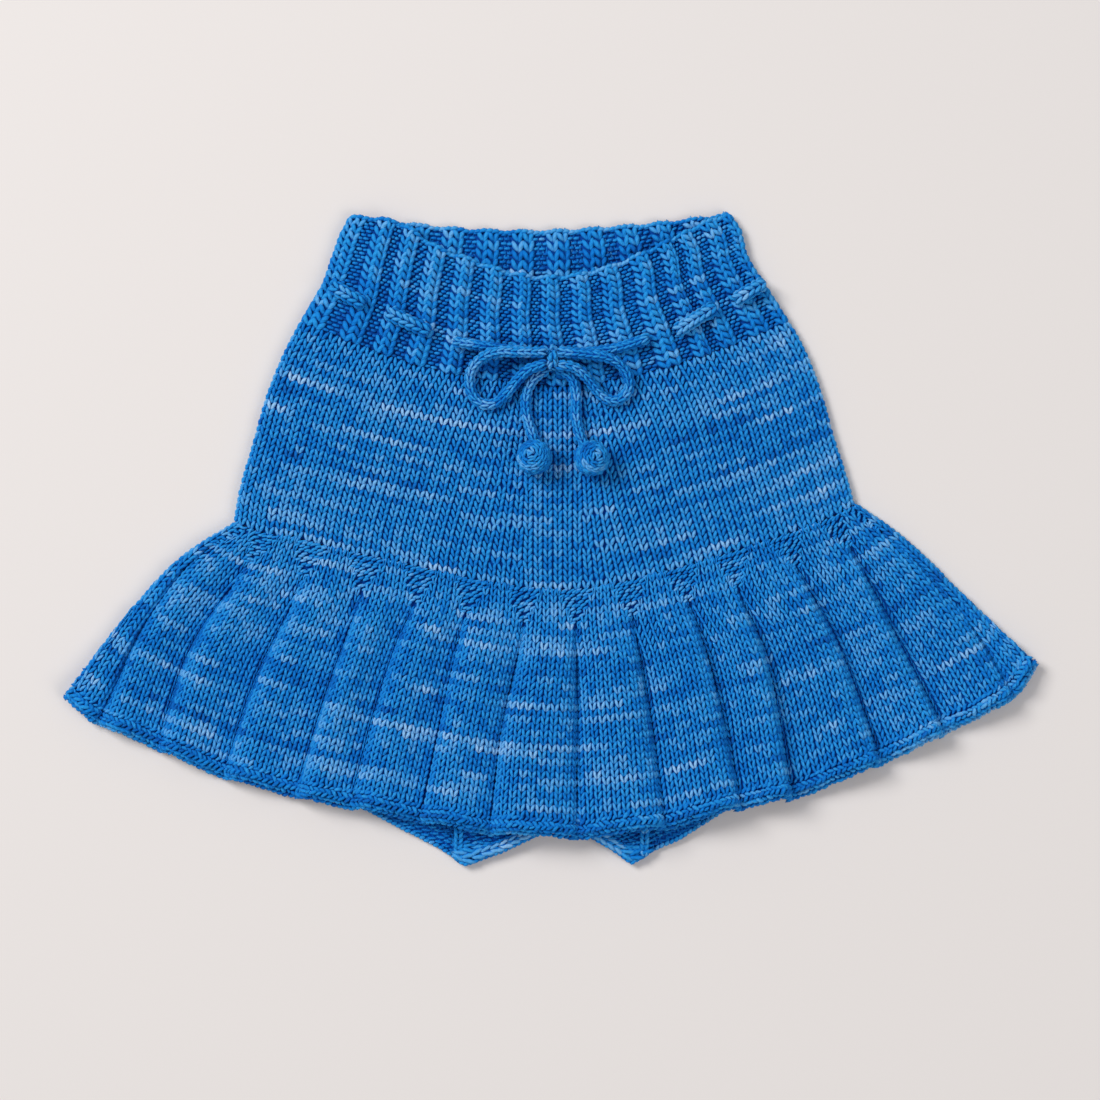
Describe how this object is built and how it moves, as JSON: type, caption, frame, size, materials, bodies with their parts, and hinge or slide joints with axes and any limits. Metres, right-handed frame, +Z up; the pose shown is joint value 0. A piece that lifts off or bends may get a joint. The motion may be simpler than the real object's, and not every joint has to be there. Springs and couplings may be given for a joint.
{
  "type": "knitted child's skirt with shorts",
  "caption": "Hand-knitted child's skirt laid flat: ribbed waistband with a tied knitted drawstring, smooth body, pleated flounce with a rolled hem, and shorts that peep out below.",
  "frame": {"origin": "middle of the laid-out garment, on the surface it lies on", "axes": "+X across the skirt to the right as seen from the front, +Y from the hem to the waist, +Z up, out of the front"},
  "size_m": [0.4378, 0.2941, 0.024],
  "materials": {
    "knitted_yarn": "matt hand-dyed wool, smooth knitting",
    "ribbing": "matt hand-dyed wool, ribbed knitting",
    "knitted_cord": "matt hand-dyed wool, knitted cord"
  },
  "bodies": {
    "root": {"waistband_front": "ribbing", "waistband_back": "ribbing", "body_front": "knitted_yarn", "body_back": "knitted_yarn", "flounce_front": "knitted_yarn", "flounce_back": "knitted_yarn", "shorts_back": "knitted_yarn", "shorts_front": "knitted_yarn", "run_left": "knitted_cord", "run_right": "knitted_cord", "loop_left": "knitted_cord", "loop_right": "knitted_cord", "tail_left": "knitted_cord", "tail_right": "knitted_cord", "stretch_left_outer": "knitted_cord", "stretch_left_inner": "knitted_cord", "stretch_right_inner": "knitted_cord", "stretch_right_outer": "knitted_cord", "bow_knot": "knitted_cord", "ball_left": "knitted_cord", "ball_right": "knitted_cord"}
  },
  "joints": []
}
